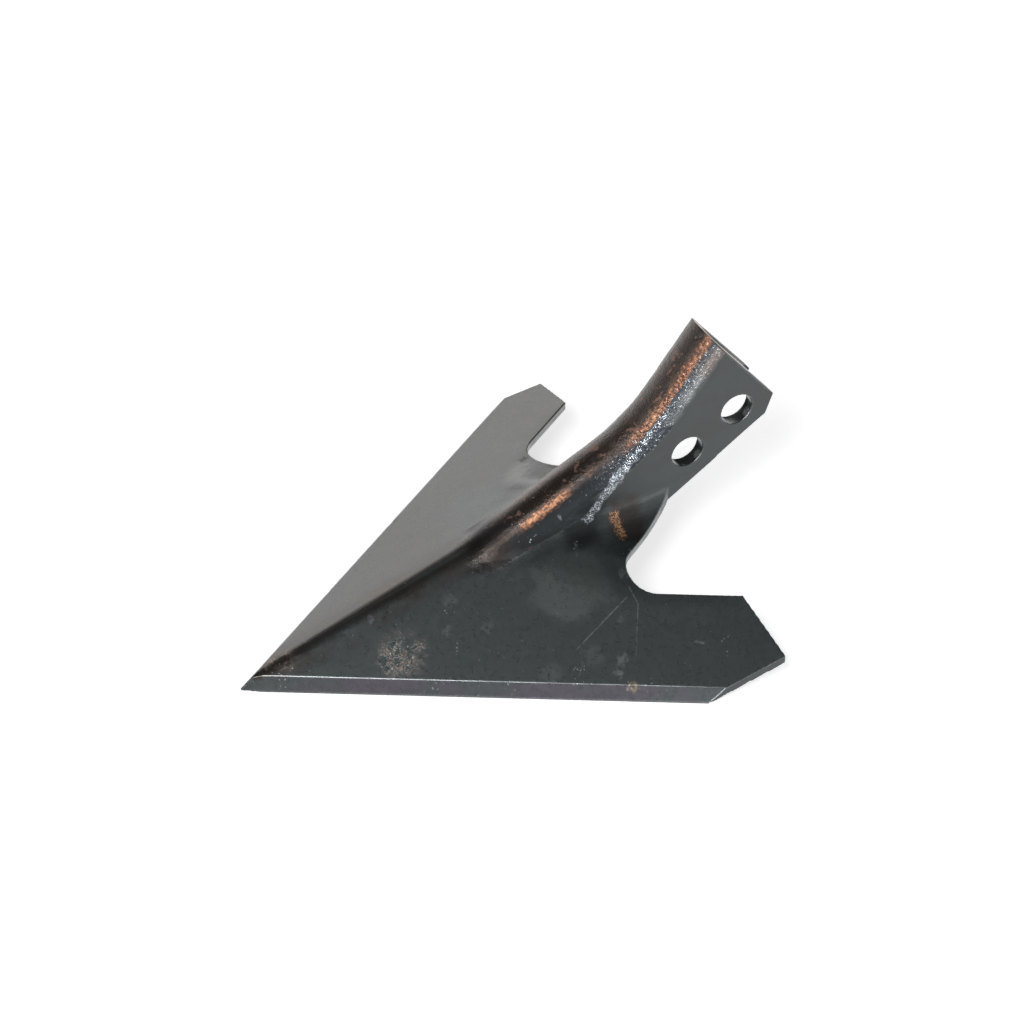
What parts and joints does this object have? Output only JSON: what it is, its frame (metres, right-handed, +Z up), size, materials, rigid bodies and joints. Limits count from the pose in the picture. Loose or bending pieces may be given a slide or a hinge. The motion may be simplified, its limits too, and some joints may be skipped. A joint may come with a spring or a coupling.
{
  "type": "cultivator share",
  "caption": "V-shaped pressed steel share with bevelled cutting edges, swept-back cropped wings and a folded neck that bolts crosswise to a tine.",
  "frame": {"origin": "middle of the lower bolt hole, halfway between the outer faces of the neck's flanks", "axes": "+X backwards from the point towards the neck, +Y to the right as the share travels, +Z up, with both cutting edges in one level plane below"},
  "size_m": [0.2369, 0.1992, 0.1068],
  "materials": {
    "forged_steel": "dark gloss lacquer over lumpy forging scale, with rust tints"
  },
  "bodies": {
    "root": {"share": "forged_steel"}
  },
  "joints": []
}
